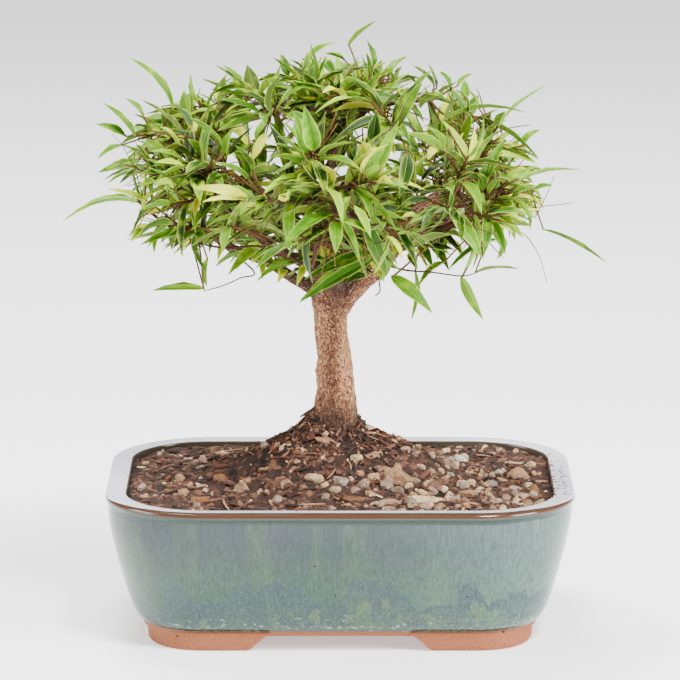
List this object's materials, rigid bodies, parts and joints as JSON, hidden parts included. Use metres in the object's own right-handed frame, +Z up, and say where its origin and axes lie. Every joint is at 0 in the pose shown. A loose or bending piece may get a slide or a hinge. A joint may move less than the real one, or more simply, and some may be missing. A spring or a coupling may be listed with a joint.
{
  "type": "ficus bonsai in a pot",
  "caption": "Small willow-leaf ficus bonsai with a broad crown of narrow leaves, standing in a rectangular glazed pot on feet, filled with bark soil and stones.",
  "frame": {"origin": "middle of the plane that the pot's four feet stand on", "axes": "+Z up, the plant's front faces -Y and the pot's long sides run along X"},
  "size_m": [0.2376, 0.1865, 0.2632],
  "materials": {
    "glaze": "gloss",
    "soil": "matte",
    "bark": "matte",
    "leaf": "satin",
    "mesh": "matte"
  },
  "bodies": {
    "root": {"pot": "glaze", "drain_mesh_left": "mesh", "drain_mesh_right": "mesh", "soil": "soil", "trunk": "bark", "spray_01": "leaf", "spray_02": "leaf", "spray_03": "leaf", "spray_04": "leaf", "spray_05": "leaf", "spray_06": "leaf", "spray_07": "leaf", "spray_08": "leaf", "spray_09": "leaf", "spray_10": "leaf", "spray_11": "leaf", "spray_12": "leaf", "spray_13": "leaf", "spray_14": "leaf", "spray_15": "leaf", "spray_16": "leaf", "spray_17": "leaf", "spray_18": "leaf", "spray_19": "leaf", "spray_20": "leaf", "spray_21": "leaf", "spray_22": "leaf", "spray_23": "leaf", "spray_24": "leaf", "spray_25": "leaf", "spray_26": "leaf", "spray_27": "leaf", "spray_28": "leaf", "spray_29": "leaf", "spray_30": "leaf", "spray_31": "leaf", "spray_32": "leaf", "spray_33": "leaf", "spray_34": "leaf", "spray_35": "leaf", "spray_36": "leaf", "spray_37": "leaf", "spray_38": "leaf", "spray_39": "leaf", "spray_40": "leaf", "spray_41": "leaf", "spray_42": "leaf", "spray_43": "leaf", "spray_44": "leaf", "spray_45": "leaf", "spray_46": "leaf", "spray_47": "leaf", "spray_48": "leaf", "spray_49": "leaf", "spray_50": "leaf"}
  },
  "joints": []
}
